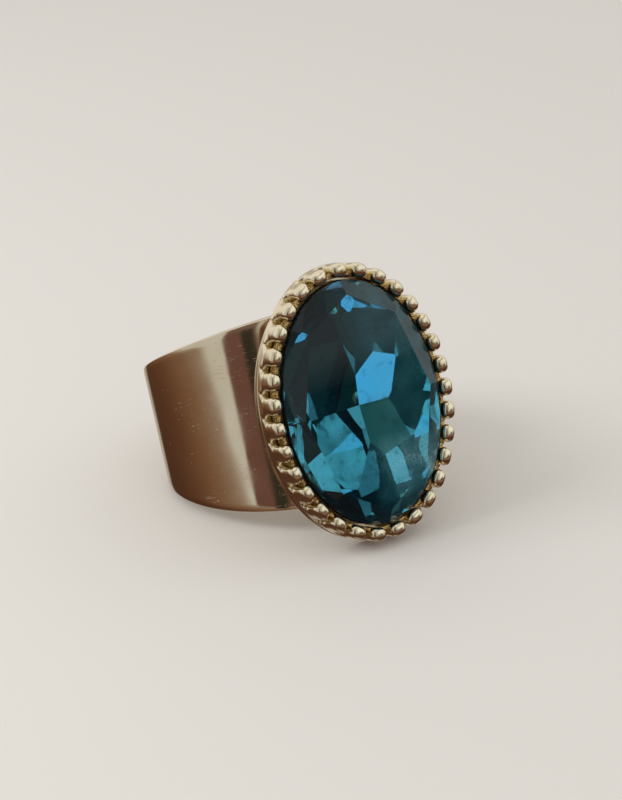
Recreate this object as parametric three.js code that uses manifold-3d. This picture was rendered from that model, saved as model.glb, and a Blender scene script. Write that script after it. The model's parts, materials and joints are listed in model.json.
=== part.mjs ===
// Cocktail ring: a wide, tapering band that carries a large oval stone in a beaded setting.
//
// Millimetres, +Z up. The ring lies as it is put down on a table, resting on the lower end
// of its head and on the lower edge of the back of its band, with the stone facing -Y and
// tipped up a little. The origin is under the middle of the ring, on the table.
//
// Two working frames are used before the ring is laid down:
//   band frame  finger axis along Z through the origin, head towards -Y
//   head frame  the setting as it stands on a bench: Z is the stone's normal, Y its length,
//               and heights are measured from the finger axis

import * as THREE from "three";
import { mergeVertices } from "three/addons/utils/BufferGeometryUtils.js";
import Module from "manifold-3d";

const manifold = await Module();
manifold.setup();

// Band
const FINGER_RADIUS = 8.65;
const BAND_WALL = 1.2;
const BAND_RADIUS = FINGER_RADIUS + BAND_WALL;
const BAND_HALF_WIDTH_FRONT = 7.7;
const BAND_HALF_WIDTH_SIDE = 5.7;
const BAND_HALF_WIDTH_BACK = 3.27;
const BAND_EDGE_ROUNDING = 0.35;
const BAND_SHOULDER = 1.0;
const BAND_SEGMENTS = 72;

// Head: every oval is given by its short radius, and is longer by OVAL_STRETCH each way
const OVAL_STRETCH = 2.69;
const HEAD_TOP = 14.65;
const BEAD_ROW_RADIUS = 7.52;
const BEAD_COUNT = 31;
const BEAD_THICKNESS = 1.1;
const BEAD_WIDTH = 1.32;
const BEAD_LENGTH = 1.56;
const BEAD_FOOT_TAPER = 0.06;
const BEAD_FOOT_HEIGHT = 0.2;
const BEAD_DOME = 0.35;
const BEAD_DOME_STEPS = 3;
const BEAD_SIDES = 12;
const RIM_RADIUS = 8.06;
const RIM_THICKNESS = 0.86;
const RIM_OPENING = 5.9;
const RIM_EDGE = 0.15;
const COLLAR_OUTER = 7.25;
const COLLAR_WALL = 0.41;
const COLLAR_BELOW_BEADS = 0.75;
const OVAL_SEGMENTS = 64;

// Stone
const STONE_SHORT = 6.76;
const STONE_LONG = 9.42;
const GIRDLE_HEIGHT = 0.3;
const GIRDLE_BELOW_BEADS = 0.72;
const CROWN_HEIGHT = 0.85;
const CROWN_MAIN_SLOPE = THREE.MathUtils.degToRad(28);
const CROWN_EDGE_SLOPE = THREE.MathUtils.degToRad(42);
const PAVILION_DEPTH = 3.75;
const PAVILION_EDGE_EXTRA = THREE.MathUtils.degToRad(9);
const MAIN_FACETS = 8;

// Cup under the head, and the metal and glue that hold it all together
const CUP_TOP_RADIUS = 7.1;
const CUP_FOOT_RADIUS = 4.4;
const CUP_WALL = 0.8;
const CUP_FOOT_HEIGHT = 7.6;
const FILLET_WIDTH = 0.4;
const FILLET_HEIGHT = 0.4;
const BEARING_WIDTH = 0.65;
const BEARING_EDGE_DROP = 0.15;
const BEARING_DROP = 0.66;
const FOIL_THICKNESS = 0.08;
const ADHESIVE_HOLLOW = 1.2;
const ADHESIVE_DEPTH = 0.6;
const ADHESIVE_INNER_DEPTH = 0.15;
const GAP = 0.06;

// Side of the block that stands for a grinding wheel, larger than the whole ring
const GRINDING_BLOCK = 40;

// Heights in the head frame that follow from the sizes above
const BEAD_FOOT = HEAD_TOP - BEAD_LENGTH;
const RIM_TOP = BEAD_FOOT - GAP;
const RIM_BACK = RIM_TOP - RIM_THICKNESS;
const COLLAR_TOP = HEAD_TOP - COLLAR_BELOW_BEADS;
const GIRDLE_BOTTOM = HEAD_TOP - GIRDLE_BELOW_BEADS;
const CUP_TOP = RIM_BACK - GAP;
const CUP_WAIST = BAND_RADIUS + FILLET_HEIGHT + GAP;

const gold = { color: 0xd9c49a, roughness: 0.2, metalness: 1.0 };
const deepGold = { color: 0xb8965a, roughness: 0.45, metalness: 1.0 };
const solder = { color: 0xc9b07c, roughness: 0.4, metalness: 1.0 };
const blueGlass = { color: 0x1f7f98, roughness: 0.03, metalness: 0.0 };
const foil = { color: 0x9fc7cf, roughness: 0.15, metalness: 1.0 };
const glue = { color: 0xcfc8a8, roughness: 0.5, metalness: 0.0 };

function named(name, geometry, finish) {
  const mesh = new THREE.Mesh(geometry, new THREE.MeshStandardMaterial({ ...finish, flatShading: true }));
  mesh.name = name;
  return mesh;
}

function positionsOnly(geometry) {
  geometry.deleteAttribute("normal");
  geometry.deleteAttribute("uv");
  return mergeVertices(geometry, 1e-5);
}

// A closed profile of [radius, height] points turned round Z, with a flat facet at -Y
function turned(profile, segments) {
  const points = profile.map(([radius, height]) => new THREE.Vector2(radius, height));
  points.push(points[0].clone());
  const geometry = new THREE.LatheGeometry(points, segments, Math.PI / segments);
  geometry.rotateX(Math.PI / 2);
  return positionsOnly(geometry);
}

// A turned ring drawn out along Y into an oval of even wall thickness
function ovalRing(profile) {
  const geometry = turned(profile, OVAL_SEGMENTS);
  const position = geometry.attributes.position;
  for (let i = 0; i < position.count; i += 1) {
    const radius = Math.hypot(position.getX(i), position.getY(i));
    position.setY(i, (position.getY(i) * (radius + OVAL_STRETCH)) / radius);
  }
  return geometry;
}

function toManifold(geometry) {
  const vertProperties = new Float32Array(geometry.attributes.position.array);
  const triVerts = new Uint32Array(geometry.index.array);
  return new manifold.Manifold(new manifold.Mesh({ numProp: 3, vertProperties, triVerts }));
}

function fromManifold(body) {
  const mesh = body.getMesh();
  const geometry = new THREE.BufferGeometry();
  geometry.setAttribute("position", new THREE.BufferAttribute(new Float32Array(mesh.vertProperties), 3));
  geometry.setIndex(new THREE.BufferAttribute(new Uint32Array(mesh.triVerts), 1));
  return geometry;
}

// Half the band's width, by the angle round the finger from the head
function bandHalfWidth(angle) {
  const mean = (BAND_HALF_WIDTH_FRONT + BAND_HALF_WIDTH_BACK) / 2;
  const taper = (BAND_HALF_WIDTH_FRONT - BAND_HALF_WIDTH_BACK) / 2;
  const forward = Math.cos(angle);
  return BAND_HALF_WIDTH_SIDE + taper * forward + (mean - BAND_HALF_WIDTH_SIDE) * forward ** 2;
}

function shank() {
  const inner = FINGER_RADIUS;
  const outer = BAND_RADIUS;
  const round = BAND_EDGE_ROUNDING;
  const edge = BAND_HALF_WIDTH_FRONT;
  const upperHalf = [
    [outer, edge - BAND_SHOULDER],
    [outer - round * 0.3, edge - round],
    [outer - round, edge],
    [inner + round, edge],
    [inner + round * 0.3, edge - round],
    [inner, edge - BAND_SHOULDER],
  ];
  const lowerHalf = upperHalf.map(([radius, height]) => [radius, -height]).reverse();
  const geometry = turned([...upperHalf, ...lowerHalf], BAND_SEGMENTS);
  const position = geometry.attributes.position;
  for (let i = 0; i < position.count; i += 1) {
    const angle = Math.atan2(position.getX(i), -position.getY(i));
    const height = position.getZ(i);
    const change = bandHalfWidth(angle) - BAND_HALF_WIDTH_FRONT;
    position.setZ(i, height + Math.sign(height) * change);
  }
  return geometry;
}

// A cylinder round the finger axis, seen from the head frame, where that axis lies along Y
function fingerCylinder(radius) {
  const length = 4 * (BAND_HALF_WIDTH_FRONT + OVAL_STRETCH);
  return toManifold(positionsOnly(new THREE.CylinderGeometry(radius, radius, length, BAND_SEGMENTS)));
}

// The tapered cup: its foot is hollowed to sit on the round of the band
function settingCup() {
  const blank = ovalRing([
    [CUP_FOOT_RADIUS - CUP_WALL, CUP_FOOT_HEIGHT],
    [CUP_FOOT_RADIUS, CUP_FOOT_HEIGHT],
    [CUP_FOOT_RADIUS, CUP_WAIST],
    [CUP_TOP_RADIUS, CUP_TOP],
    [RIM_OPENING, CUP_TOP],
    [CUP_FOOT_RADIUS - CUP_WALL, BAND_RADIUS + CUP_WALL],
  ]);
  return fromManifold(toManifold(blank).subtract(fingerCylinder(BAND_RADIUS + GAP)));
}

// Solder run round the foot of the cup, lying on the band
function solderFillet() {
  const inner = CUP_FOOT_RADIUS + GAP;
  const run = ovalRing([
    [inner, CUP_FOOT_HEIGHT],
    [inner + FILLET_WIDTH, CUP_FOOT_HEIGHT],
    [inner + FILLET_WIDTH, CUP_WAIST],
    [inner, CUP_WAIST],
  ]);
  const shell = fingerCylinder(BAND_RADIUS + GAP + FILLET_HEIGHT).subtract(fingerCylinder(BAND_RADIUS + GAP));
  return fromManifold(toManifold(run).intersect(shell));
}

function baseRim() {
  return ovalRing([
    [RIM_OPENING, RIM_BACK],
    [RIM_RADIUS - RIM_EDGE, RIM_BACK],
    [RIM_RADIUS, RIM_BACK + RIM_EDGE],
    [RIM_RADIUS, RIM_TOP - RIM_EDGE],
    [RIM_RADIUS - RIM_EDGE, RIM_TOP],
    [RIM_OPENING, RIM_TOP],
  ]);
}

function collar() {
  const inner = COLLAR_OUTER - COLLAR_WALL;
  return ovalRing([
    [inner, BEAD_FOOT],
    [COLLAR_OUTER, BEAD_FOOT],
    [COLLAR_OUTER, COLLAR_TOP],
    [inner, COLLAR_TOP],
  ]);
}

// The ledge inside the collar that carries the edge of the stone
function stoneBearing() {
  const outer = COLLAR_OUTER - COLLAR_WALL - GAP;
  const top = GIRDLE_BOTTOM - GAP;
  const inner = outer - BEARING_WIDTH;
  return ovalRing([
    [inner, BEAD_FOOT],
    [outer, BEAD_FOOT],
    [outer, top - BEARING_EDGE_DROP],
    [inner, top - BEARING_DROP],
  ]);
}

// A barrel-shaped grain with a rounded top, its thickness along X and its width along Y,
// with a flat on the inner side where it stands against the collar
function grain() {
  const domeFoot = BEAD_LENGTH - BEAD_DOME;
  const points = [new THREE.Vector2(0, 0), new THREE.Vector2(1 / 2 - BEAD_FOOT_TAPER, 0)];
  points.push(new THREE.Vector2(1 / 2, BEAD_FOOT_HEIGHT));
  for (let step = 0; step <= BEAD_DOME_STEPS; step += 1) {
    const turn = (step * Math.PI) / (2 * BEAD_DOME_STEPS);
    const radius = step < BEAD_DOME_STEPS ? Math.cos(turn) / 2 : 0;
    points.push(new THREE.Vector2(radius, domeFoot + BEAD_DOME * Math.sin(turn)));
  }
  const barrel = new THREE.LatheGeometry(points, BEAD_SIDES);
  barrel.rotateX(Math.PI / 2);
  barrel.scale(BEAD_THICKNESS, BEAD_WIDTH, 1);
  const flat = BEAD_ROW_RADIUS - COLLAR_OUTER - GAP;
  const block = new THREE.BoxGeometry(GRINDING_BLOCK, GRINDING_BLOCK, GRINDING_BLOCK);
  block.translate(-flat - GRINDING_BLOCK / 2, 0, 0);
  return toManifold(positionsOnly(barrel)).subtract(toManifold(positionsOnly(block)));
}

function beads() {
  const short = BEAD_ROW_RADIUS;
  const long = BEAD_ROW_RADIUS + OVAL_STRETCH;
  const row = new THREE.EllipseCurve(0, 0, short, long, Math.PI, -Math.PI, true);
  return row.getSpacedPoints(BEAD_COUNT).slice(0, BEAD_COUNT).map((place, i) => {
    const geometry = fromManifold(grain());
    geometry.rotateZ(Math.atan2(place.y / long ** 2, place.x / short ** 2));
    geometry.translate(place.x, place.y, BEAD_FOOT);
    return named(`bead_${String(i + 1).padStart(2, "0")}`, geometry, gold);
  });
}

// Everything on the outer side of one facet, ready to be ground off a stone. The facet
// touches the oval of the girdle at the given turn, at the given height, and slopes at the
// given angle from the level: upwards (+1) on the crown, downwards (-1) on the pavilion.
function beyondFacet(short, long, turn, height, slope, side) {
  const touch = new THREE.Vector3(short * Math.cos(turn), long * Math.sin(turn), height);
  const outward = new THREE.Vector3(Math.cos(turn) / short, Math.sin(turn) / long, 0).normalize();
  const normal = outward.multiplyScalar(Math.sin(slope));
  normal.z = side * Math.cos(slope);
  const block = new THREE.BoxGeometry(GRINDING_BLOCK, GRINDING_BLOCK, GRINDING_BLOCK);
  block.applyQuaternion(new THREE.Quaternion().setFromUnitVectors(new THREE.Vector3(0, 0, 1), normal));
  const centre = touch.addScaledVector(normal, GRINDING_BLOCK / 2);
  block.translate(centre.x, centre.y, centre.z);
  return toManifold(positionsOnly(block));
}

// Slope of the facet that runs from the girdle down to the point of the stone
function slopeToPoint(short, long, turn, depth) {
  const outward = new THREE.Vector2(Math.cos(turn) / short, Math.sin(turn) / long).normalize();
  const reach = outward.x * short * Math.cos(turn) + outward.y * long * Math.sin(turn);
  return Math.atan2(depth, reach);
}

function groundPavilion(blank, short, long, girdle, depth) {
  let body = blank;
  for (let i = 0; i < MAIN_FACETS; i += 1) {
    const turn = ((i + 0.5) * 2 * Math.PI) / MAIN_FACETS;
    const slope = slopeToPoint(short, long, turn, depth);
    body = body.subtract(beyondFacet(short, long, turn, girdle, slope, -1));
  }
  for (let i = 0; i < 2 * MAIN_FACETS; i += 1) {
    const turn = ((i + 0.5) * Math.PI) / MAIN_FACETS;
    const slope = slopeToPoint(short, long, turn, depth) + PAVILION_EDGE_EXTRA;
    body = body.subtract(beyondFacet(short, long, turn, girdle, slope, -1));
  }
  return body;
}

function ovalBlank(short, long, bottom, top) {
  const blank = new THREE.CylinderGeometry(1, 1, top - bottom, OVAL_SEGMENTS);
  blank.rotateX(Math.PI / 2);
  blank.scale(short, long, 1);
  blank.translate(0, 0, (bottom + top) / 2);
  return toManifold(positionsOnly(blank));
}

function stone() {
  const girdleTop = GIRDLE_BOTTOM + GIRDLE_HEIGHT;
  const blank = ovalBlank(STONE_SHORT, STONE_LONG, GIRDLE_BOTTOM - PAVILION_DEPTH, girdleTop + CROWN_HEIGHT);
  let body = groundPavilion(blank, STONE_SHORT, STONE_LONG, GIRDLE_BOTTOM, PAVILION_DEPTH);
  for (let i = 0; i < MAIN_FACETS; i += 1) {
    const turn = ((i + 0.5) * 2 * Math.PI) / MAIN_FACETS;
    body = body.subtract(beyondFacet(STONE_SHORT, STONE_LONG, turn, girdleTop, CROWN_MAIN_SLOPE, 1));
  }
  for (let i = 0; i < 2 * MAIN_FACETS; i += 1) {
    const turn = ((i + 0.5) * Math.PI) / MAIN_FACETS;
    body = body.subtract(beyondFacet(STONE_SHORT, STONE_LONG, turn, girdleTop, CROWN_EDGE_SLOPE, 1));
  }
  return fromManifold(body);
}

// A skin of foil that follows the back facets of the stone
function foilBacking() {
  const innerTop = BEAD_FOOT - GAP;
  const skin = (offset, top) => {
    const short = STONE_SHORT + offset;
    const long = STONE_LONG + offset;
    const blank = ovalBlank(short, long, GIRDLE_BOTTOM - 2 * PAVILION_DEPTH, top);
    return groundPavilion(blank, short, long, GIRDLE_BOTTOM - offset, PAVILION_DEPTH);
  };
  return fromManifold(skin(GAP + FOIL_THICKNESS, innerTop).subtract(skin(GAP, innerTop + GAP)));
}

// Glue in the foot of the cup, dished to take the point of the stone
function adhesiveBed() {
  const foot = BAND_RADIUS + 2 * GAP;
  const outer = CUP_FOOT_RADIUS - CUP_WALL - GAP;
  return ovalRing([
    [ADHESIVE_HOLLOW, foot],
    [outer, foot],
    [outer, foot + ADHESIVE_DEPTH],
    [ADHESIVE_HOLLOW + ADHESIVE_DEPTH, foot + ADHESIVE_INNER_DEPTH],
  ]);
}

function boxOf(object) {
  return new THREE.Box3().setFromObject(object, true);
}

// Tips the ring back until the lower end of its head and the back of its band are level
function restingTilt(ring, band, head) {
  let least = 0;
  let most = Math.PI / 4;
  for (let halving = 0; halving < 30; halving += 1) {
    const tilt = (least + most) / 2;
    ring.rotation.x = -tilt;
    ring.updateMatrixWorld(true);
    if (boxOf(head).min.z < boxOf(band).min.z) least = tilt;
    else most = tilt;
  }
  return (least + most) / 2;
}

function layDown(ring, band, head) {
  ring.rotation.x = -restingTilt(ring, band, head);
  ring.updateMatrixWorld(true);
  const box = boxOf(ring);
  const middle = box.getCenter(new THREE.Vector3());
  ring.position.set(-middle.x, -middle.y, -box.min.z);
}

const head = new THREE.Group();
head.rotation.x = Math.PI / 2;
head.add(
  named("setting_cup", settingCup(), gold),
  named("solder_fillet", solderFillet(), solder),
  named("base_rim", baseRim(), gold),
  named("collar", collar(), deepGold),
  named("stone_bearing", stoneBearing(), deepGold),
  named("stone", stone(), blueGlass),
  named("foil_backing", foilBacking(), foil),
  named("adhesive_bed", adhesiveBed(), glue),
  ...beads(),
);

const band = named("shank", shank(), gold);
const ring = new THREE.Group();
ring.add(band, head);
layDown(ring, band, head);

export default ring;
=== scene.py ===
"""Cocktail ring: fine meshes, materials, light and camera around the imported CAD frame.

Metres, +Z up. The ring lies on its side on the floor. Two working frames are used, as in
the CAD: the band is described by an angle round the finger axis and a height along it, and
the head by an oval round the stone's normal and a height above the finger axis.
"""

import json
import math

import bmesh
import bpy
import numpy as np
from mathutils import Matrix, Vector, noise


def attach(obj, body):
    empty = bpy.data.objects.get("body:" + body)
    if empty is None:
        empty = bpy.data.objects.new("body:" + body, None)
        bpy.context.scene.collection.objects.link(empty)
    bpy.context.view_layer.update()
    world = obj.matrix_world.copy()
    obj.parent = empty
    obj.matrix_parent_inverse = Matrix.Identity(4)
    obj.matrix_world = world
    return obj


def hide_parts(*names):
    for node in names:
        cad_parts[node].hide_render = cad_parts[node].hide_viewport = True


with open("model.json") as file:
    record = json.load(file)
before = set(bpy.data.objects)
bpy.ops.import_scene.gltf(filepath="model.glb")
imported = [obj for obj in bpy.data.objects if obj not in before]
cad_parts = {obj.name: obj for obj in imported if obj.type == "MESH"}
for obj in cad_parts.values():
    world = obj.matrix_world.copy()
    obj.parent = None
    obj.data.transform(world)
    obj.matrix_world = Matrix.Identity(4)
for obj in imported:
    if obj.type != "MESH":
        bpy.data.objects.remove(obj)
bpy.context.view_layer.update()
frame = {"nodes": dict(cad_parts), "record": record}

MM = 0.001

# Band
FINGER_RADIUS = 8.65 * MM
BAND_RADIUS = 9.85 * MM
BAND_HALF_WIDTH_FRONT = 7.7 * MM
BAND_HALF_WIDTH_SIDE = 5.7 * MM
BAND_HALF_WIDTH_BACK = 3.27 * MM
BAND_SHOULDER = 0.7 * MM
BAND_SHOULDER_DROP = 0.03 * MM
BAND_EDGE_ROUNDING = 0.1 * MM
BAND_INNER_ROUNDING = 0.35 * MM
BAND_WAVINESS = 0.012 * MM
BAND_WAVE = 3.5 * MM
BAND_TURNS = 360

# Head: every oval is longer than it is wide by OVAL_STRETCH each way. Heights are measured
# from the finger axis.
OVAL_STRETCH = 2.69 * MM
OVAL_TURNS = 372
TABLE_HEIGHT = 15.08 * MM
HEAD_TOP = 14.65 * MM

# Beads: each is a blunt barrel at its top, and widens into the wall below the scoops, where
# BEAD_FOOT_SHARE of its space is half its width. The row is shifted round the oval by an angle.
BEAD_COUNT = 31
BEAD_ROW_RADIUS = 7.52 * MM
BEAD_SHIFT = 0.0215
BEAD_LENGTH = 1.56 * MM
BEAD_FOOT = HEAD_TOP - BEAD_LENGTH
BEAD_WIDTH = 1.38 * MM
BEAD_WIDTH_SPREAD = 0.04
BEAD_THICKNESS = 1.1 * MM
BEAD_DOME = 0.62 * MM
BEAD_BLUNTNESS = 2.25
BEAD_FLANK_TAPER = 0.02
BEAD_SQUARENESS = 2.7
BEAD_FOOT_SQUARENESS = 8
BEAD_FOOT_SHARE = 0.53
BEAD_UNEVENNESS = 0.016 * MM
BEAD_SIDES = 48
SCOOP_FOOT = 12.86 * MM
SCOOP_END = 0.34 * MM

# Rim behind the beads, and the collar inside them
RIM_RADIUS = 8.06 * MM
RIM_BACK = 12.17 * MM
RIM_OPENING = 5.9 * MM
RIM_EDGE = 0.16 * MM
RIM_END_TAPER = 0.9 * MM
RIM_FLANGE = 0.14 * MM
RIM_FLANGE_HEIGHT = 0.28 * MM
RIM_FLANGE_FADE = 0.06 * MM
COLLAR_INNER = 7.0 * MM
COLLAR_OUTER = 7.34 * MM
COLLAR_TOP = HEAD_TOP - 0.7 * MM

# Cup under the head, and the solder round its foot. Both are sunk a little into the band.
CUP_TOP = 12.11 * MM
CUP_TOP_RADIUS = 7.1 * MM
CUP_FOOT_RADIUS = 4.4 * MM
CUP_WALL = 0.8 * MM
CUP_WAIST = 10.31 * MM
SOLDER_WIDTH = 0.46 * MM
SOLDER_WIDTH_SPREAD = 0.35
SOLDER_OVERLAP = 0.05 * MM
SOLDER_SWELL = 0.01 * MM
FOOT_SUNK = 0.02 * MM

# Stone: its back has a point a little off the middle with four flat facets round it, eight
# steeper facets outside those, the one at the upper end turned aside, and sixteen short ones
# under the girdle, less steep and so a little longer at the upper right
STONE_SHORT = 6.76 * MM
STONE_LONG = 9.42 * MM
STONE_SEGMENTS = 128
GIRDLE_BOTTOM = HEAD_TOP - 0.72 * MM
GIRDLE_TOP = GIRDLE_BOTTOM + 0.3 * MM
CROWN_FACETS = 8
CROWN_SLOPE = math.radians(28)
CROWN_EDGE_SLOPE = math.radians(42)
POINT_DEPTH = 3.7 * MM
POINT_ACROSS = 0.75 * MM
POINT_ALONG = -0.45 * MM
POINT_FACETS = 4
POINT_SLOPE = math.radians(21)
SIDE_SLOPE = math.radians(41.5)
UPPER_END = math.radians(69.5)
UPPER_END_SLOPE = math.radians(23.35)
LOWER_END_SLOPE = math.radians(25.7)
UPPER_DIAGONAL = math.radians(51.25)
UPPER_DIAGONAL_SLOPE = math.radians(27.04)
LOWER_DIAGONAL = math.radians(55)
LOWER_DIAGONAL_SLOPE = math.radians(30.6)
UNDER_GIRDLE_DEPTH = 4.65 * MM
UNDER_GIRDLE_EXTRA = math.radians(12)
UPPER_RIGHT_EXTRA = math.radians(6)
UPPER_RIGHT_START = math.radians(-20)

# Camera and lamp
CAMERA_AZIMUTH = math.radians(-31.32)
CAMERA_ELEVATION = math.radians(24.34)
CAMERA_ROLL = math.radians(2.385)
CAMERA_DISTANCE = 171.16 * MM
CAMERA_AIM = Vector((2.330, -1.983, 0.001)) * MM
CAMERA_LENS = 94.5
CAMERA_SENSOR = 36.0
LAMP_PLACE = (-0.22, 0.08, 0.2)
LAMP_SIZE = 0.16
LAMP_POWER = 0.35
FLOOR_REACH = 2.0

# The finger axis and the head's axes, from the mount on the stone's table
table_mount = frame["record"]["mounts"][0]
HEAD_NORMAL = Vector(table_mount["axis"]).normalized()
ACROSS = Vector((1.0, 0.0, 0.0))
FINGER_AXIS = ACROSS.cross(-HEAD_NORMAL)
CENTRE = Vector(table_mount["pos_m"]) - TABLE_HEIGHT * HEAD_NORMAL


# ---------------------------------------------------------------- places in the two frames

def band_point(angle, radius, height):
    """A point of the band: angle round the finger from the head, height along the finger."""
    outward = math.cos(angle) * HEAD_NORMAL + math.sin(angle) * ACROSS
    return CENTRE + radius * outward + height * FINGER_AXIS


def oval_point(turn, radius, height, stretch=OVAL_STRETCH):
    """A point of the head: turn round the stone from +X, height above the finger axis."""
    along = (radius + stretch) * math.sin(turn)
    return CENTRE + radius * math.cos(turn) * ACROSS + along * FINGER_AXIS + height * HEAD_NORMAL


def head_space(x, y, height):
    """A point of the head: x across, y along the stone, height above the finger axis."""
    return CENTRE + x * ACROSS + y * FINGER_AXIS + height * HEAD_NORMAL


def band_half_width(angle):
    """Half the band's width at an angle round the finger from the head."""
    mean = (BAND_HALF_WIDTH_FRONT + BAND_HALF_WIDTH_BACK) / 2
    taper = (BAND_HALF_WIDTH_FRONT - BAND_HALF_WIDTH_BACK) / 2
    forward = math.cos(angle)
    return BAND_HALF_WIDTH_SIDE + taper * forward + (mean - BAND_HALF_WIDTH_SIDE) * forward**2


def band_surface(radius, turn):
    """Height of the band's outside under a point of the head, measured like the head's own."""
    across = radius * math.cos(turn)
    return math.sqrt(BAND_RADIUS**2 - across**2)


def smoothstep(start, end, value):
    """0 up to start and 1 from end on, with a smooth rise between them."""
    share = min(max((value - start) / (end - start), 0.0), 1.0)
    return share * share * (3 - 2 * share)


def wobble(spot, size, seed):
    """Smooth random height between about -1 and 1, of the given feature size."""
    return noise.noise(Vector(spot) / size + Vector((seed, 2.7 * seed, 0.0)))


# ---------------------------------------------------------------- mesh making

def new_mesh(name, vertices, faces):
    """A mesh from its points and its faces, without an object yet."""
    mesh = bpy.data.meshes.new(name)
    mesh.from_pydata(vertices, [], faces)
    return mesh


def finished(name, mesh, sharp_angle=math.radians(35)):
    """Turns every face outwards, smooths the shading and returns the linked object."""
    work = bmesh.new()
    work.from_mesh(mesh)
    bmesh.ops.recalc_face_normals(work, faces=work.faces)
    work.to_mesh(mesh)
    work.free()
    mesh.shade_smooth()
    mesh.set_sharp_from_angle(angle=sharp_angle)
    piece = bpy.data.objects.new(name, mesh)
    bpy.context.scene.collection.objects.link(piece)
    return piece


def side_faces(row_pairs, width):
    """The four-sided faces between each pair of rows, all the way round the rows."""
    faces = []
    for first, second in row_pairs:
        for j in range(width):
            beside = (j + 1) % width
            lower_edge = (first * width + j, second * width + j)
            upper_edge = (second * width + beside, first * width + beside)
            faces.append(lower_edge + upper_edge)
    return faces


def ring_mesh(name, rows):
    """A closed ring from rows of points: each row is one closed section, and the rows close."""
    count, width = len(rows), len(rows[0])
    vertices = [point for row in rows for point in row]
    return new_mesh(name, vertices, side_faces([(i, (i + 1) % count) for i in range(count)], width))


def capped_mesh(name, rows):
    """A closed lump from rows of points, each row a closed loop, with a point at each end."""
    count, width = len(rows), len(rows[0])
    vertices = [point for row in rows for point in row]
    vertices.append(sum(rows[0], Vector()) / width)
    vertices.append(sum(rows[-1], Vector()) / width)
    faces = side_faces([(i, i + 1) for i in range(count - 1)], width)
    for j in range(width):
        beside = (j + 1) % width
        faces.append((count * width, j, beside))
        faces.append((count * width + 1, (count - 1) * width + beside, (count - 1) * width + j))
    return new_mesh(name, vertices, faces)


def rounded(points, radius, steps=5):
    """A closed outline of (across, up) points with every corner rounded off. A rounding takes
    up less than half of each side beside it."""
    longest_share = 0.45
    outline = []
    for i, corner in enumerate(points):
        corner = Vector(corner)
        before = Vector(points[i - 1]) - corner
        after = Vector(points[(i + 1) % len(points)]) - corner
        reach = min(radius, before.length * longest_share, after.length * longest_share)
        start = corner + before.normalized() * reach
        end = corner + after.normalized() * reach
        for step in range(steps + 1):
            share = step / steps
            bend = corner * 2 * share * (1 - share)
            outline.append(start * (1 - share) ** 2 + bend + end * share**2)
    return outline


def filled_in(outline, spacing):
    """The same closed outline with extra points, so that no step is longer than spacing."""
    dense = []
    for i, point in enumerate(outline):
        following = outline[(i + 1) % len(outline)]
        steps = max(1, math.ceil((following - point).length / spacing))
        dense.extend(point.lerp(following, step / steps) for step in range(steps))
    return dense


# ---------------------------------------------------------------- band

def band_section():
    """Half the band's section as (radius, distance below the edge), from the outside round the
    edge to the inside: a soft shoulder, a crisp small rounding, a flat edge, a rounded inside."""
    steps = 10
    edge_steps = 5
    shoulder_end = BAND_RADIUS - BAND_SHOULDER_DROP
    section = []
    for step in range(steps):
        share = step / steps
        drop = BAND_SHOULDER + (BAND_EDGE_ROUNDING - BAND_SHOULDER) * share
        section.append((BAND_RADIUS - BAND_SHOULDER_DROP * share**3, -drop))
    for step in range(steps + 1):
        turn = step / steps * math.pi / 2
        radius = shoulder_end - BAND_EDGE_ROUNDING * (1 - math.cos(turn))
        section.append((radius, BAND_EDGE_ROUNDING * (math.sin(turn) - 1)))
    edge_start = shoulder_end - BAND_EDGE_ROUNDING
    edge_end = FINGER_RADIUS + BAND_INNER_ROUNDING
    for step in range(1, edge_steps):
        section.append((edge_start + (edge_end - edge_start) * step / edge_steps, 0.0))
    for step in range(steps + 1):
        turn = (1 - step / steps) * math.pi / 2
        radius = FINGER_RADIUS + BAND_INNER_ROUNDING * (1 - math.cos(turn))
        section.append((radius, BAND_SHOULDER * (math.sin(turn) - 1)))
    return section


def make_band():
    """The tapering band, with faint waves in its polished outside."""
    upper = band_section()
    flat_steps = 16
    rows = []
    for i in range(BAND_TURNS):
        angle = i / BAND_TURNS * 2 * math.pi
        half = band_half_width(angle)
        upper_half = [(radius, half + drop) for radius, drop in upper]
        lower_half = [(radius, -height) for radius, height in reversed(upper_half)]
        flat_top = half - BAND_SHOULDER
        levels = [flat_top * (1 - 2 * k / flat_steps) for k in range(1, flat_steps)]
        inside = [(FINGER_RADIUS, level) for level in levels]
        outside = [(BAND_RADIUS, -level) for level in levels]
        row = []
        for radius, height in upper_half + inside + lower_half + outside:
            if radius > (FINGER_RADIUS + BAND_RADIUS) / 2:
                spot = band_point(angle, radius, height)
                radius += BAND_WAVINESS * wobble(spot, size=BAND_WAVE, seed=1.0)
            row.append(band_point(angle, radius, height))
        rows.append(row)
    return finished("band", ring_mesh("band", rows))


# ---------------------------------------------------------------- head

def head_ring(name, outline_at, unevenness, feature, seed):
    """An oval ring with an uneven skin. outline_at(turn) gives its closed outline there, as
    points of (radius, height) and, where it isn't OVAL_STRETCH, the stretch of the oval."""
    rows = []
    for i in range(OVAL_TURNS):
        turn = i / OVAL_TURNS * 2 * math.pi
        row = []
        for radius, height, *stretch in outline_at(turn):
            lift = unevenness * wobble(oval_point(turn, radius, height), feature, seed)
            row.append(oval_point(turn, radius + lift, height, *stretch))
        rows.append(row)
    return finished(name, ring_mesh(name, rows))


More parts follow.
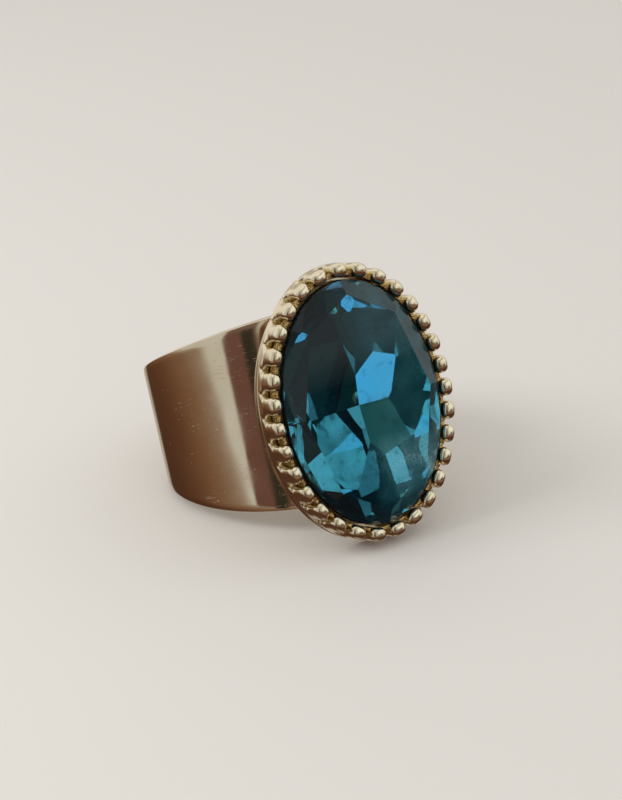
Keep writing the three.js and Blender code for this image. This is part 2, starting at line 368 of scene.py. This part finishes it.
def make_rim():
    """The rim under the grains: a thin flange stands out along its sides, and its upper end
    slopes in towards the back."""
    outline = filled_in(rounded([
        (RIM_OPENING, RIM_BACK),
        (RIM_RADIUS, RIM_BACK),
        (RIM_RADIUS, SCOOP_FOOT),
        (RIM_OPENING, SCOOP_FOOT),
    ], RIM_EDGE, steps=8), spacing=0.08 * MM)
    flange_top = RIM_BACK + RIM_FLANGE_HEIGHT

    def outline_at(turn):
        points = []
        for radius, height in outline:
            depth = (SCOOP_FOOT - height) / (SCOOP_FOOT - RIM_BACK)
            stretch = OVAL_STRETCH - RIM_END_TAPER * depth * max(math.sin(turn), 0.0)
            if radius > RIM_RADIUS - RIM_EDGE:
                flange = 1 - smoothstep(flange_top - RIM_FLANGE_FADE, flange_top, height)
                radius += RIM_FLANGE * flange * math.cos(turn) ** 2
            points.append((radius, height, stretch))
        return points

    return head_ring("gallery_rim", outline_at, unevenness=0.012 * MM, feature=1.2 * MM, seed=3.0)


def make_collar():
    """The thin wall between the grains and the stone, rough as it was cast."""
    outline = filled_in(rounded([
        (COLLAR_INNER, BEAD_FOOT),
        (COLLAR_OUTER, BEAD_FOOT),
        (COLLAR_OUTER, COLLAR_TOP),
        (COLLAR_INNER, COLLAR_TOP),
    ], radius=0.1 * MM), spacing=0.06 * MM)

    def outline_at(turn):
        return outline

    return head_ring("groove_collar", outline_at, unevenness=0.07 * MM, feature=0.22 * MM, seed=3.0)


def bead_places():
    """The turn of every bead and the space each has: evenly spaced along the oval, the first
    near -X, going up."""
    samples = 4001
    short = BEAD_ROW_RADIUS
    long = BEAD_ROW_RADIUS + OVAL_STRETCH
    turns = np.linspace(math.pi, -math.pi, samples) + BEAD_SHIFT
    steps = np.hypot(np.diff(short * np.cos(turns)), np.diff(long * np.sin(turns)))
    travelled = np.concatenate([[0.0], np.cumsum(steps)])
    wanted = travelled[-1] * np.arange(BEAD_COUNT) / BEAD_COUNT
    return np.interp(wanted, travelled, turns), travelled[-1] / BEAD_COUNT


def bead_levels():
    """(height, share of full size) up a bead: a nearly straight flank and a blunt round end."""
    sunk = BEAD_FOOT - SCOOP_FOOT + RIM_EDGE
    flank = BEAD_LENGTH - BEAD_DOME + sunk
    flank_steps = 26
    dome_steps = 16
    levels = []
    for step in range(flank_steps):
        share = step / flank_steps
        levels.append((-sunk + flank * share, (1 - BEAD_FLANK_TAPER) + BEAD_FLANK_TAPER * share))
    for step in range(dome_steps):
        rise = math.sin(step / dome_steps * math.pi / 2)
        size = (1 - rise**BEAD_BLUNTNESS) ** (1 / BEAD_BLUNTNESS)
        levels.append((BEAD_LENGTH - BEAD_DOME * (1 - rise), size))
    return levels


def squared(value, power):
    """A sine or cosine raised to a power with its sign kept, which squares a circle off."""
    return math.copysign(abs(value) ** power, value)


def make_bead(name, turn, spacing, seed):
    """A grain that grows out of the wall: as wide as its share of the wall at its foot, then
    drawn in to a barrel, so that the scoops between the grains have rounded ends."""
    plumpness = 1 + BEAD_WIDTH_SPREAD * wobble((seed, 0, 0), size=1.0, seed=5.0)
    long = BEAD_ROW_RADIUS + OVAL_STRETCH
    speed = math.hypot(BEAD_ROW_RADIUS * math.sin(turn), long * math.cos(turn))
    scoop_start = SCOOP_FOOT - BEAD_FOOT
    rows = []
    for height, size in bead_levels():
        narrowed = smoothstep(scoop_start, scoop_start + SCOOP_END, height)
        foot_width = spacing * BEAD_FOOT_SHARE * (1 - narrowed)
        half_width = (foot_width + BEAD_WIDTH / 2 * plumpness * narrowed) * size
        half_depth = BEAD_THICKNESS / 2 * size
        power = 2 / (BEAD_FOOT_SQUARENESS * (1 - narrowed) + BEAD_SQUARENESS * narrowed)
        row = []
        for side in range(BEAD_SIDES):
            angle = side / BEAD_SIDES * 2 * math.pi
            bead_turn = turn + squared(math.cos(angle), power) * half_width / speed
            radius = BEAD_ROW_RADIUS + squared(math.sin(angle), power) * half_depth
            spot = oval_point(bead_turn, radius, BEAD_FOOT + height)
            lift = BEAD_UNEVENNESS * wobble(spot, size=0.4 * MM, seed=9.0)
            row.append(oval_point(bead_turn, radius + lift, BEAD_FOOT + height))
        rows.append(row)
    return finished(name, capped_mesh(name, rows), sharp_angle=math.radians(60))


def make_cup():
    """The tapered cup between the band and the rim. Its foot follows the round of the band."""
    inner = CUP_FOOT_RADIUS - CUP_WALL

    def outline_at(turn):
        corners = [
            (inner, band_surface(inner, turn) - FOOT_SUNK),
            (CUP_FOOT_RADIUS, band_surface(CUP_FOOT_RADIUS, turn) - FOOT_SUNK),
            (CUP_FOOT_RADIUS, CUP_WAIST),
            (CUP_TOP_RADIUS, CUP_TOP),
            (RIM_OPENING, CUP_TOP),
            (inner, BAND_RADIUS + CUP_WALL),
        ]
        return rounded(corners, radius=0.25 * MM)

    return head_ring("tapered_cup", outline_at, unevenness=0.01 * MM, feature=0.5 * MM, seed=4.0)


def make_solder():
    """A hollow fillet of solder run round the foot of the cup, wider in some places."""
    inner = CUP_FOOT_RADIUS - SOLDER_OVERLAP
    steps = 8

    def outline_at(turn):
        spread = SOLDER_WIDTH_SPREAD * wobble((math.cos(turn), math.sin(turn), 0), size=0.4, seed=6.0)
        width = SOLDER_WIDTH * (1 + spread)
        points = [
            (inner, band_surface(inner, turn) - FOOT_SUNK),
            (inner + width, band_surface(inner + width, turn) - FOOT_SUNK),
        ]
        for step in range(steps + 1):
            bend = step / steps * math.pi / 2
            radius = inner + width * (1 - math.sin(bend))
            rise = width * (1 - math.cos(bend))
            points.append((radius, band_surface(radius, turn) + rise + SOLDER_SWELL))
        return points

    return head_ring("solder_run", outline_at, unevenness=0.012 * MM, feature=0.5 * MM, seed=4.0)


# ---------------------------------------------------------------- stone

def grind(work, point, facing, slope, side):
    """Grinds one flat facet on a closed convex body: what lies beyond the plane through the
    point is cut off. The facet faces the given way round the stone, and slopes from the
    level: side 1 on the crown, -1 below."""
    outward = math.cos(facing) * ACROSS + math.sin(facing) * FINGER_AXIS
    normal = outward * math.sin(slope) + side * math.cos(slope) * HEAD_NORMAL
    parts = list(work.verts) + list(work.edges) + list(work.faces)
    cut = bmesh.ops.bisect_plane(work, geom=parts, plane_co=point, plane_no=normal, clear_outer=True)
    edges = [item for item in cut["geom_cut"] if isinstance(item, bmesh.types.BMEdge)]
    if edges:
        bmesh.ops.edgeloop_fill(work, edges=edges)


def grind_at_girdle(work, facing, height, slope, side):
    """A facet that touches the oval of the girdle."""
    turn = math.atan2(STONE_LONG * math.sin(facing), STONE_SHORT * math.cos(facing))
    touch = head_space(STONE_SHORT * math.cos(turn), STONE_LONG * math.sin(turn), height)
    grind(work, touch, facing, slope, side)


def facing_at(turn):
    """The way the girdle faces at a turn of the oval."""
    return math.atan2(math.sin(turn) / STONE_LONG, math.cos(turn) / STONE_SHORT)


def reach_at(facing):
    """How far the girdle reaches the way it faces."""
    return math.hypot(STONE_SHORT * math.cos(facing), STONE_LONG * math.sin(facing))


def girdle_facings(count):
    """The ways that this many facets face, evenly spaced in turns round the girdle."""
    return [facing_at((i + 0.5) * 2 * math.pi / count) for i in range(count)]


def grind_crown(work):
    """The facets between the table and the girdle: large ones, then a ring of edge facets."""
    for facing in girdle_facings(CROWN_FACETS):
        grind_at_girdle(work, facing, GIRDLE_TOP, CROWN_SLOPE, 1)
    for facing in girdle_facings(2 * CROWN_FACETS):
        grind_at_girdle(work, facing, GIRDLE_TOP, CROWN_EDGE_SLOPE, 1)


def grind_back(work):
    """The facets below the girdle, from the point outwards."""
    point = head_space(POINT_ACROSS, POINT_ALONG, GIRDLE_BOTTOM - POINT_DEPTH)
    for i in range(POINT_FACETS):
        grind(work, point, (i + 0.5) * 2 * math.pi / POINT_FACETS, POINT_SLOPE, -1)
    middle = [(UPPER_END, UPPER_END_SLOPE), (-math.pi / 2, LOWER_END_SLOPE)]
    for mirror in (1, -1):
        middle.append((math.pi / 2 - mirror * math.pi / 2, SIDE_SLOPE))
        middle.append((math.pi / 2 - mirror * (math.pi / 2 - UPPER_DIAGONAL), UPPER_DIAGONAL_SLOPE))
        middle.append((-math.pi / 2 + mirror * (math.pi / 2 - LOWER_DIAGONAL), LOWER_DIAGONAL_SLOPE))
    for facing, slope in middle:
        grind_at_girdle(work, facing, GIRDLE_BOTTOM, slope, -1)
    for facing in girdle_facings(2 * CROWN_FACETS):
        upper_right = UPPER_RIGHT_START < math.remainder(facing, 2 * math.pi) < math.pi / 2
        extra = UPPER_RIGHT_EXTRA if upper_right else UNDER_GIRDLE_EXTRA
        slope = math.atan2(UNDER_GIRDLE_DEPTH, reach_at(facing)) + extra
        grind_at_girdle(work, facing, GIRDLE_BOTTOM, slope, -1)


def make_stone():
    """The cut stone: an oval rod ground flat, facet by facet."""
    turns = [k / STONE_SEGMENTS * 2 * math.pi for k in range(STONE_SEGMENTS)]
    vertices = []
    for height in (GIRDLE_BOTTOM - 2 * POINT_DEPTH, TABLE_HEIGHT):
        for turn in turns:
            vertices.append(head_space(STONE_SHORT * math.cos(turn), STONE_LONG * math.sin(turn), height))
    faces = []
    for k in range(STONE_SEGMENTS):
        beside = (k + 1) % STONE_SEGMENTS
        faces.append((k, beside, STONE_SEGMENTS + beside, STONE_SEGMENTS + k))
    faces.append(tuple(range(STONE_SEGMENTS))[::-1])
    faces.append(tuple(range(STONE_SEGMENTS, 2 * STONE_SEGMENTS)))
    mesh = new_mesh("stone_cut", vertices, faces)
    work = bmesh.new()
    work.from_mesh(mesh)
    grind_back(work)
    grind_crown(work)
    work.to_mesh(mesh)
    work.free()
    return finished("cut_stone", mesh, sharp_angle=math.radians(1))


# ---------------------------------------------------------------- materials

# Linear colours. Where there are two, the material varies from one to the other.
BAND_GOLD = ((0.86, 0.76, 0.58), (0.82, 0.70, 0.50))
BEAD_GOLD = ((0.87, 0.80, 0.61), (0.83, 0.74, 0.53))
CAST_GOLD = ((0.45, 0.26, 0.08), (0.72, 0.50, 0.20))
GROOVE_GOLD = ((0.26, 0.15, 0.05), (0.80, 0.60, 0.27))
SOLDER = ((0.70, 0.60, 0.42), (0.50, 0.44, 0.34))
GLUE = ((0.62, 0.57, 0.42), (0.50, 0.44, 0.30))
FOIL = ((0.88, 0.92, 0.94), (0.30, 0.34, 0.34))
FOIL_GLOW = (0.0, 0.55, 0.70)
GLASS = (0.085, 0.60, 0.78)
# The pale tone of the grainy patches over the stone's lower right
PALE_PATCH = (0.40, 0.64, 0.70)
# Nearly black, for the stone's upright edge: painted shade
EDGE_PAINTED_SHADE = (0.012, 0.016, 0.018)
FLOOR = (0.74, 0.71, 0.67)


def new_material(name, metallic=0.0):
    """A new material, its node tree and its shader."""
    material = bpy.data.materials.new(name)
    material.use_nodes = True
    tree = material.node_tree
    shader = tree.nodes["Principled BSDF"]
    shader.inputs["Metallic"].default_value = metallic
    return material, tree, shader


def node(tree, kind, **settings):
    """A new node of the tree, with its settings."""
    made = tree.nodes.new(kind)
    for key, value in settings.items():
        setattr(made, key, value)
    return made


def noise_node(tree, size, detail=3.0, along_band=1.0):
    """Noise with features of about the given size in metres, in a frame whose Z is the finger
    axis. Along the band it can be drawn out into scratches that run round the finger."""
    position = node(tree, "ShaderNodeTexCoord")
    mapping = node(tree, "ShaderNodeMapping", vector_type="TEXTURE")
    mapping.inputs["Rotation"].default_value = (math.atan2(-FINGER_AXIS.y, FINGER_AXIS.z), 0, 0)
    mapping.inputs["Scale"].default_value = (size * along_band, size * along_band, size)
    texture = node(tree, "ShaderNodeTexNoise")
    texture.inputs["Scale"].default_value = 1.0
    texture.inputs["Detail"].default_value = detail
    tree.links.new(position.outputs["Object"], mapping.inputs["Vector"])
    tree.links.new(mapping.outputs["Vector"], texture.inputs["Vector"])
    return texture.outputs["Fac"]


def multiplied(tree, first, second):
    """The product of two node outputs."""
    product = node(tree, "ShaderNodeMath", operation="MULTIPLY")
    tree.links.new(first, product.inputs[0])
    tree.links.new(second, product.inputs[1])
    return product.outputs[0]


def ranged(tree, source, low, high, to_low=0.0, to_high=1.0):
    """The source's values from low to high, mapped to the other range and held outside it."""
    mapped = node(tree, "ShaderNodeMapRange")
    mapped.inputs["From Min"].default_value = low
    mapped.inputs["From Max"].default_value = high
    mapped.inputs["To Min"].default_value = to_low
    mapped.inputs["To Max"].default_value = to_high
    tree.links.new(source, mapped.inputs["Value"])
    return mapped.outputs["Result"]


def mixed(tree, factor, first, second):
    """A mix of two colours, each a colour or the output of another node."""
    mix = node(tree, "ShaderNodeMix", data_type="RGBA")
    tree.links.new(factor, mix.inputs["Factor"])
    for socket, colour in ((mix.inputs["A"], first), (mix.inputs["B"], second)):
        if isinstance(colour, tuple):
            socket.default_value = (*colour, 1.0)
        else:
            tree.links.new(colour, socket)
    return mix.outputs["Result"]


def coloured(tree, shader, source, low, high, tones):
    """Colours the shader with the first tone at low and the second at high."""
    tree.links.new(mixed(tree, ranged(tree, source, low, high), *tones), shader.inputs["Base Color"])


def roughened(tree, shader, source, low, high, smooth, rough):
    """Makes the shader smooth where the source is low and rough where it is high."""
    tree.links.new(ranged(tree, source, low, high, smooth, rough), shader.inputs["Roughness"])


def bumped(tree, shader, heights):
    """Adds bumps, given as (height source, strength, distance), one after another."""
    normal = None
    for source, strength, distance in heights:
        bump = node(tree, "ShaderNodeBump")
        bump.inputs["Strength"].default_value = strength
        bump.inputs["Distance"].default_value = distance
        tree.links.new(source, bump.inputs["Height"])
        if normal:
            tree.links.new(normal, bump.inputs["Normal"])
        normal = bump.outputs["Normal"]
    tree.links.new(normal, shader.inputs["Normal"])


def polished_gold(name, tones, roughness, scratched, blotched):
    """Plated gold: cloudy tone, fine scratches round the finger and a few small pits."""
    material, tree, shader = new_material(name, metallic=1.0)
    coloured(tree, shader, noise_node(tree, 3.0 * MM, detail=4.0), 0.35, 0.7, tones)
    scratches = ranged(tree, noise_node(tree, 0.05 * MM, detail=1.0, along_band=16.0), 0.69, 0.77)
    handled = ranged(tree, noise_node(tree, 2.2 * MM, detail=1.0), 0.55, 0.66)
    marks = multiplied(tree, scratches, handled)
    pits = ranged(tree, noise_node(tree, 0.16 * MM, detail=2.0), 0.70, 0.76)
    smear = noise_node(tree, 1.8 * MM, detail=5.0)
    rubbed = node(tree, "ShaderNodeMath", operation="MULTIPLY_ADD")
    tree.links.new(marks, rubbed.inputs[0])
    rubbed.inputs[1].default_value = 0.25 * scratched
    tree.links.new(ranged(tree, smear, 0.3, 0.75, roughness * 0.7, roughness * 1.7), rubbed.inputs[2])
    tree.links.new(rubbed.outputs[0], shader.inputs["Roughness"])
    bumped(tree, shader, [
        (marks, 0.5 * scratched, 0.01 * MM),
        (pits, 0.35 * scratched, -0.01 * MM),
        (smear, blotched, 0.05 * MM),
    ])
    return material


def cast_gold(name, tones):
    """Gold as it came from the mould: grainy, deeper in tone, with bright crumbs."""
    material, tree, shader = new_material(name, metallic=1.0)
    grain = noise_node(tree, 0.16 * MM, detail=4.0)
    coloured(tree, shader, grain, 0.4, 0.62, tones)
    roughened(tree, shader, grain, 0.3, 0.7, 0.2, 0.45)
    bumped(tree, shader, [(grain, 0.7, 0.06 * MM)])
    return material


def solder_metal():
    """Solder as it flowed and set: satin, and duller in patches."""
    material, tree, shader = new_material("solder_metal", metallic=1.0)
    flow = noise_node(tree, 0.5 * MM, detail=4.0)
    coloured(tree, shader, flow, 0.35, 0.65, SOLDER)
    roughened(tree, shader, flow, 0.3, 0.7, 0.22, 0.5)
    bumped(tree, shader, [(flow, 0.35, 0.05 * MM)])
    return material


def cured_glue():
    """Clear glue that has yellowed unevenly."""
    material, tree, shader = new_material("cured_glue")
    cloud = noise_node(tree, 0.8 * MM, detail=3.0)
    coloured(tree, shader, cloud, 0.35, 0.65, GLUE)
    roughened(tree, shader, cloud, 0.3, 0.7, 0.15, 0.4)
    shader.inputs["Transmission Weight"].default_value = 0.35
    shader.inputs["IOR"].default_value = 1.48
    bumped(tree, shader, [(cloud, 0.3, 0.08 * MM)])
    return material


def blue_glass():
    """Blue-green glass, paler and less clear in fine grainy patches over its lower right."""
    material, tree, shader = new_material("blue_glass")
    spot = node(tree, "ShaderNodeTexCoord")
    parts = node(tree, "ShaderNodeSeparateXYZ")
    tree.links.new(spot.outputs["Object"], parts.inputs["Vector"])
    right = ranged(tree, parts.outputs["X"], -1.2 * MM, 1.8 * MM)
    below_middle = ranged(tree, parts.outputs["Z"], 7.2 * MM, 8.6 * MM, 1.0, 0.25)
    above_end = ranged(tree, parts.outputs["Z"], 3.4 * MM, 4.8 * MM, 0.2, 1.0)
    lower_right = multiplied(tree, right, multiplied(tree, below_middle, above_end))
    patches = ranged(tree, noise_node(tree, 2.2 * MM, detail=3.0), 0.40, 0.62, 0.45, 1.0)
    grains = ranged(tree, noise_node(tree, 0.09 * MM, detail=2.0), 0.40, 0.70, 0.45, 1.0)
    # Paler and less clear in grainy patches over the lower right
    pale_patches = multiplied(tree, lower_right, multiplied(tree, patches, grains))
    tree.links.new(mixed(tree, pale_patches, GLASS, PALE_PATCH), shader.inputs["Base Color"])
    tree.links.new(ranged(tree, pale_patches, 0.0, 1.0, 1.0, 0.46), shader.inputs["Transmission Weight"])
    shader.inputs["Roughness"].default_value = 0.0
    shader.inputs["IOR"].default_value = 1.52
    return material


def foiled_back():
    """Bright foil on the back facets, dulled in small smudges."""
    material, tree, shader = new_material("foiled_back", metallic=1.0)
    smudge = ranged(tree, noise_node(tree, 0.9 * MM, detail=4.0), 0.56, 0.70, 0.0, 0.55)
    tree.links.new(mixed(tree, smudge, *FOIL), shader.inputs["Base Color"])
    roughened(tree, shader, smudge, 0.0, 0.55, 0.02, 0.12)
    # A faint glow stands for the light that reaches the foil by paths too long to be followed
    shader.inputs["Emission Color"].default_value = (*FOIL_GLOW, 1.0)
    shader.inputs["Emission Strength"].default_value = 0.004
    bumped(tree, shader, [(noise_node(tree, 2.4 * MM, detail=1.0), 1.0, 0.012 * MM)])
    return material


def edge_in_painted_shade():
    """The matt edge of the stone, painted nearly black as painted shade round the stone."""
    material, tree, shader = new_material("edge_in_painted_shade")
    shader.inputs["Base Color"].default_value = (*EDGE_PAINTED_SHADE, 1.0)
    shader.inputs["Roughness"].default_value = 0.55
    return material


def coat(piece, material):
    """Gives a piece this one material."""
    piece.data.materials.clear()
    piece.data.materials.append(material)


def coat_stone(stone):
    """Glass, with foil on the back facets and a matt edge painted dark, as painted shade, on the upright
    faces.
    """
    for material in (blue_glass(), foiled_back(), edge_in_painted_shade()):
        stone.data.materials.append(material)
    foil, edge = 1, 2
    upright = 0.02
    for polygon in stone.data.polygons:
        if abs(polygon.normal.dot(HEAD_NORMAL)) < upright:
            # The upright faces take the matt edge painted dark as painted shade
            polygon.material_index = edge
        elif (polygon.center - CENTRE).dot(HEAD_NORMAL) < GIRDLE_BOTTOM:
            polygon.material_index = foil


# ---------------------------------------------------------------- putting the ring together

def place(piece, slot, *nodes):
    """Rides a piece on the ring, in place of the CAD nodes it stands for."""
    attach(piece, "root")
    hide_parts(*nodes)


def place_coated(piece, material, slot, node_name):
    """The same for a piece of one material that stands for one CAD node."""
    coat(piece, material)
    place(piece, slot, node_name)


band_gold = polished_gold("band_gold", BAND_GOLD, roughness=0.09, scratched=1.0, blotched=0.05)
bead_gold = polished_gold("bead_gold", BEAD_GOLD, roughness=0.14, scratched=0.6, blotched=0.16)
rough_gold = cast_gold("rough_gold", CAST_GOLD)
groove_gold = cast_gold("groove_gold", GROOVE_GOLD)

place_coated(make_band(), band_gold, "polished_gold", "shank")
place_coated(make_rim(), bead_gold, "polished_gold", "base_rim")
place_coated(make_collar(), groove_gold, "cast_gold", "collar")
bead_turns, bead_spacing = bead_places()
for index, bead_turn in enumerate(bead_turns):
    number = f"{index + 1:02d}"
    bead = make_bead(f"grain_{number}", bead_turn, bead_spacing, index)
    place_coated(bead, bead_gold, "polished_gold", f"bead_{number}")

cut_stone = make_stone()
coat_stone(cut_stone)
place(cut_stone, "blue_glass", "stone", "foil_backing")

place_coated(make_cup(), bead_gold, "polished_gold", "setting_cup")
place_coated(make_solder(), solder_metal(), "solder", "solder_fillet")
coat(frame["nodes"]["stone_bearing"], rough_gold)
coat(frame["nodes"]["adhesive_bed"], cured_glue())


# ---------------------------------------------------------------- floor, light and camera

def make_floor():
    """A plain pale floor, which the metal and the glass don't mirror: they have the world's
    own table below them."""
    low, high = -FLOOR_REACH, FLOOR_REACH
    corners = [(low, low, 0), (high, low, 0), (high, high, 0), (low, high, 0)]
    floor = bpy.data.objects.new("floor", new_mesh("floor", corners, [(0, 1, 2, 3)]))
    bpy.context.scene.collection.objects.link(floor)
    material, tree, shader = new_material("floor")
    shader.inputs["Base Color"].default_value = (*FLOOR, 1.0)
    shader.inputs["Roughness"].default_value = 0.7
    coat(floor, material)
    floor.visible_glossy = False
    floor.visible_transmission = False


def world_angles(tree):
    """The bearing from -Y towards +X, and the elevation, of the way a ray goes, in radians."""
    direction = node(tree, "ShaderNodeTexCoord")
    parts = node(tree, "ShaderNodeSeparateXYZ")
    tree.links.new(direction.outputs["Generated"], parts.inputs["Vector"])
    rise = node(tree, "ShaderNodeMath", operation="ARCSINE")
    tree.links.new(parts.outputs["Z"], rise.inputs[0])
    backwards = node(tree, "ShaderNodeMath", operation="MULTIPLY")
    tree.links.new(parts.outputs["Y"], backwards.inputs[0])
    backwards.inputs[1].default_value = -1.0
    bearing = node(tree, "ShaderNodeMath", operation="ARCTAN2")
    tree.links.new(parts.outputs["X"], bearing.inputs[0])
    tree.links.new(backwards.outputs[0], bearing.inputs[1])
    return bearing.outputs[0], rise.outputs[0]


def colour_by_elevation(tree, rise, stops):
    """A colour ramp over the elevation, from (degrees, colour) stops."""
    ramp = node(tree, "ShaderNodeValToRGB")
    tree.links.new(ranged(tree, rise, -math.pi / 2, math.pi / 2), ramp.inputs["Fac"])
    elements = ramp.color_ramp.elements
    while len(elements) < len(stops):
        elements.new(0.5)
    for element, (degrees, colour) in zip(elements, stops):
        element.position = (degrees + 90) / 180
        element.color = (*colour, 1.0)
    return ramp.outputs["Color"]


def between(tree, angle, low, high, soft):
    """1 between two angles in degrees, falling to 0 over the soft width outside them."""
    up = ranged(tree, angle, math.radians(low - soft), math.radians(low))
    down = ranged(tree, angle, math.radians(high), math.radians(high + soft), 1.0, 0.0)
    return multiplied(tree, up, down)


def make_world():
    """Plain pale light for the floor. The metal mirrors a room: a dark warm table below with a
    light spot straight under the ring, and a wall with soft windows round it. Rays through
    the stone see a room of their own, nearly black, with windows where facets light up."""
    world = bpy.data.worlds.new("studio")
    bpy.context.scene.world = world
    world.use_nodes = True
    tree = world.node_tree
    tree.nodes.clear()
    bearing, rise = world_angles(tree)

    def window(left, right, low, high, soft):
        """A soft-edged window from one bearing to another and one elevation to another."""
        across = between(tree, bearing, left, right, soft)
        return multiplied(tree, across, between(tree, rise, low, high, soft))

    def with_windows(surroundings, windows):
        """The surroundings with (window, colour) pairs laid over them, the last on top."""
        for share, colour in windows:
            surroundings = mixed(tree, share, surroundings, colour)
        return surroundings

    room = colour_by_elevation(tree, rise, [
        (-90, (0.42, 0.36, 0.29)),
        (-79, (0.38, 0.32, 0.26)),
        (-67, (0.092, 0.045, 0.027)),
        (-27, (0.075, 0.033, 0.020)),
        (-21, (0.114, 0.053, 0.029)),
        (-16, (0.167, 0.085, 0.050)),
        (-11.6, (0.199, 0.115, 0.070)),
        (-7.4, (0.251, 0.175, 0.131)),
        (-4.5, (0.305, 0.238, 0.193)),
        (-2.5, (0.136, 0.065, 0.055)),
        (10, (0.14, 0.075, 0.06)),
        (35, (0.22, 0.18, 0.15)),
        (62, (0.42, 0.40, 0.37)),
        (80, (1.0, 0.97, 0.92)),
        (90, (1.0, 0.97, 0.92)),
    ])
    mirrored = with_windows(room, [
        # The bright wall behind the ring, left and right of straight back
        (window(-180, -105, 4, 84, 12), (0.82, 0.78, 0.74)),
        (window(105, 180, 4, 84, 12), (0.82, 0.78, 0.74)),
        # A dark post, and the tall window to the left of it
        (window(-44, -35, -7, 12, 3), (0.030, 0.028, 0.020)),
        (window(-110, -64, -3, 60, 2), (0.56, 0.56, 0.55)),
        # The wall in front and to the right, its bright side, and the window in it
        (window(-28, 105, 9, 52, 4), (0.48, 0.47, 0.44)),
        (window(52, 105, -3, 52, 4), (0.72, 0.71, 0.68)),
        (window(2, 88, 17, 50, 5), (0.90, 0.89, 0.85)),
        # A small dark object on the table, and the table's lit part behind on the right
        (window(26, 34, 3, 8.7, 1), (0.03, 0.03, 0.03)),
        (window(122, 172, -45, 6, 18), (0.46, 0.41, 0.35)),
    ])
    seen_through_stone = with_windows((0.008, 0.020, 0.014), [
        # The large window on the left, its blue strip and its greener far end
        (window(-118, -44, 26, 62, 5), (0.60, 0.66, 0.66)),
        (window(-74, -58, 30, 62, 3), (0.60, 0.74, 0.90)),
        (window(-112, -92, 22, 48, 3), (0.34, 0.46, 0.40)),
        # Light from below for the blue cell in the middle
        (window(-24, -8, -50, -34, 4), (0.56, 0.71, 0.98)),
        # The window in front on the right, and the dim wall between the two windows
        (window(8, 50, 28, 48, 5), (0.66, 0.66, 0.66)),
        (window(-18, 7, 24, 48, 5), (0.24, 0.26, 0.27)),
        (window(-42, -18, 40, 66, 4), (0.12, 0.11, 0.085)),
        # Small dim lights that single facets pick up
        (window(8, 18, 1, 9, 3), (0.60, 0.60, 0.60)),
        (window(66, 86, 22, 38, 4), (0.45, 0.45, 0.45)),
        (window(40, 58, 50, 62, 4), (0.45, 0.45, 0.45)),
        (window(-20, -8, 0, 9, 3), (0.35, 0.35, 0.35)),
    ])
    rays = node(tree, "ShaderNodeLightPath")
    seen = mixed(tree, rays.outputs["Is Transmission Ray"], mirrored, seen_through_stone)
    seen = mixed(tree, rays.outputs["Is Diffuse Ray"], seen, (0.78, 0.77, 0.75))
    seen = mixed(tree, rays.outputs["Is Camera Ray"], seen, (0.72, 0.70, 0.67))
    background = node(tree, "ShaderNodeBackground")
    tree.links.new(seen, background.inputs["Color"])
    output = node(tree, "ShaderNodeOutputWorld")
    tree.links.new(background.outputs["Background"], output.inputs["Surface"])


def make_lamp():
    """A large soft light up on the left, for the floor's shadow. Metal and glass don't show it."""
    light = bpy.data.lights.new("key", "AREA")
    light.shape = "DISK"
    light.size = LAMP_SIZE
    light.energy = LAMP_POWER
    lamp = bpy.data.objects.new("key", light)
    lamp.location = LAMP_PLACE
    lamp.rotation_euler = (-lamp.location).to_track_quat("-Z", "Y").to_euler()
    lamp.visible_glossy = False
    lamp.visible_transmission = False
    lamp.visible_camera = False
    bpy.context.scene.collection.objects.link(lamp)


def make_camera():
    """The camera, up in front on the left and turned a little about its line of sight."""
    towards = Vector((
        math.sin(CAMERA_AZIMUTH) * math.cos(CAMERA_ELEVATION),
        -math.cos(CAMERA_AZIMUTH) * math.cos(CAMERA_ELEVATION),
        math.sin(CAMERA_ELEVATION),
    ))
    forward = -towards
    level_right = forward.cross(Vector((0, 0, 1))).normalized()
    level_down = forward.cross(level_right)
    right = math.cos(CAMERA_ROLL) * level_right + math.sin(CAMERA_ROLL) * level_down
    down = -math.sin(CAMERA_ROLL) * level_right + math.cos(CAMERA_ROLL) * level_down
    data = bpy.data.cameras.new("camera")
    data.lens = CAMERA_LENS
    data.sensor_width = CAMERA_SENSOR
    data.clip_start = 0.01
    camera = bpy.data.objects.new("camera", data)
    turned = Matrix((right, -down, towards)).transposed().to_4x4()
    camera.matrix_world = Matrix.Translation(CENTRE + CAMERA_AIM + towards * CAMERA_DISTANCE) @ turned
    bpy.context.scene.collection.objects.link(camera)
    bpy.context.scene.camera = camera


make_floor()
make_world()
make_lamp()
make_camera()
bpy.context.scene.view_settings.view_transform = "Standard"
